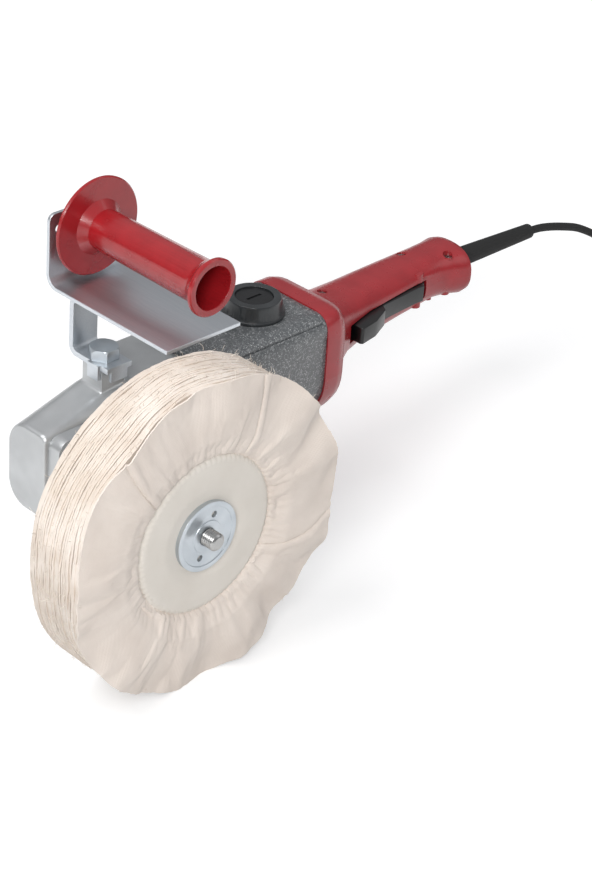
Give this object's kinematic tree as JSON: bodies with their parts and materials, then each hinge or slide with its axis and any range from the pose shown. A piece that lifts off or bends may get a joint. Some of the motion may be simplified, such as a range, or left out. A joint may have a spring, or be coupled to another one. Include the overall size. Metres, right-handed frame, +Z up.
{
  "type": "rotary polisher",
  "caption": "Corded angle polisher with a cloth buffing wheel, a bow bracket with a red side handle, and a red rear handle with a paddle trigger.",
  "frame": {"origin": "on the spindle's axis, at the front face of the flange nut", "axes": "-Y along the spindle towards its tip, +X along the motor towards the rear handle, +Z up, square to both"},
  "size_m": [0.994, 0.2336, 0.324],
  "materials": {
    "wheel_cloth": "stitched cotton plies",
    "zinc_steel": "zinc plated",
    "bright_steel": "turned",
    "gear_steel": "hardened",
    "bearing_steel": "ground",
    "cast_head": "satin casting",
    "dark_screw": "blackened",
    "black_plastic": "moulded",
    "lamination": "stacked steel",
    "copper_wire": "enamelled wire",
    "copper_bar": "turned copper",
    "hammertone": "hammered paint",
    "brass_part": "drawn brass",
    "carbon": "pressed carbon",
    "spring_steel": "wire",
    "boss_plastic": "moulded",
    "cap_plastic": "moulded",
    "red_shell": "moulded",
    "trigger_plastic": "moulded",
    "white_plastic": "moulded",
    "black_rubber": "matt",
    "bow_steel": "bright zinc",
    "red_handle": "polished"
  },
  "bodies": {
    "machine": {"front_spindle_bearing": "bearing_steel", "rear_spindle_bearing": "bearing_steel", "bearing_flange": "cast_head", "bearing_flange_screws": "dark_screw", "gear_housing": "cast_head", "front_armature_bearing": "bearing_steel", "rear_armature_bearing": "bearing_steel", "bearing_retainer": "zinc_steel", "air_baffle": "black_plastic", "motor_housing": "hammertone", "housing_screws": "dark_screw", "stator_core": "lamination", "field_windings": "copper_wire", "brush_holders": "brass_part", "carbon_brushes": "carbon", "brush_springs": "spring_steel", "top_brush_boss": "boss_plastic", "bottom_brush_boss": "boss_plastic", "top_brush_cap": "cap_plastic", "bottom_brush_cap": "cap_plastic", "upper_handle_shell": "red_shell", "lower_handle_shell": "red_shell", "handle_screws": "bright_steel", "trigger_pin": "bright_steel", "switch_module": "black_plastic", "cord_clamp": "black_plastic", "cord_clamp_screws": "bright_steel", "cord_sleeve": "black_rubber", "cord_lead": "black_rubber", "cord_coil": "black_rubber", "cord_tail": "black_rubber", "plug_body": "black_rubber", "plug_pins": "brass_part", "bow_plate": "bow_steel", "bow_post": "bow_steel", "bow_bolt": "zinc_steel", "side_handle": "red_handle", "side_handle_bolt": "zinc_steel"},
    "spindle": {"cloth_wheel": "wheel_cloth", "flange_nut": "zinc_steel", "back_flange": "zinc_steel", "spindle": "bright_steel", "crown_gear": "gear_steel"},
    "armature": {"pinion": "gear_steel", "armature_shaft": "bright_steel", "armature_core": "lamination", "armature_windings": "copper_wire", "commutator": "copper_bar", "cooling_fan": "black_plastic"},
    "trigger": {"trigger": "trigger_plastic"},
    "switch_plunger": {"switch_plunger": "white_plastic"},
    "spindle_lock": {"spindle_lock_button": "black_plastic"}
  },
  "joints": [
    {"name": "spindle_spin", "type": "hinge", "parent": "machine", "child": "spindle", "pos_m": [0, 0, 0], "axis": [0, 1, 0], "continuous": true},
    {"name": "armature_spin", "type": "hinge", "parent": "machine", "child": "armature", "pos_m": [0.1, 0.152, 0], "axis": [1, 0, 0], "continuous": true},
    {"name": "trigger_squeeze", "type": "hinge", "parent": "machine", "child": "trigger", "pos_m": [0.4, 0.17, 0], "axis": [0, 0, -1], "range_deg": [0, 6], "stiffness_Nm_per_rad": 0.9, "springref_deg": -8.59},
    {"name": "plunger_push", "type": "slide", "parent": "machine", "child": "switch_plunger", "axis": [0, 1, 0], "range_m": [0, 0.0064]},
    {"name": "spindle_lock_press", "type": "slide", "parent": "machine", "child": "spindle_lock", "axis": [0, -1, 0], "range_m": [0, 0.006], "stiffness_N_per_m": 400, "springref_m": -0.004}
  ],
  "couplings": [
    {"joint": "armature_spin", "follows": "spindle_spin", "ratio": 3.4545},
    {"joint": "plunger_push", "follows": "trigger_squeeze", "m_per_rad": 0.06}
  ]
}
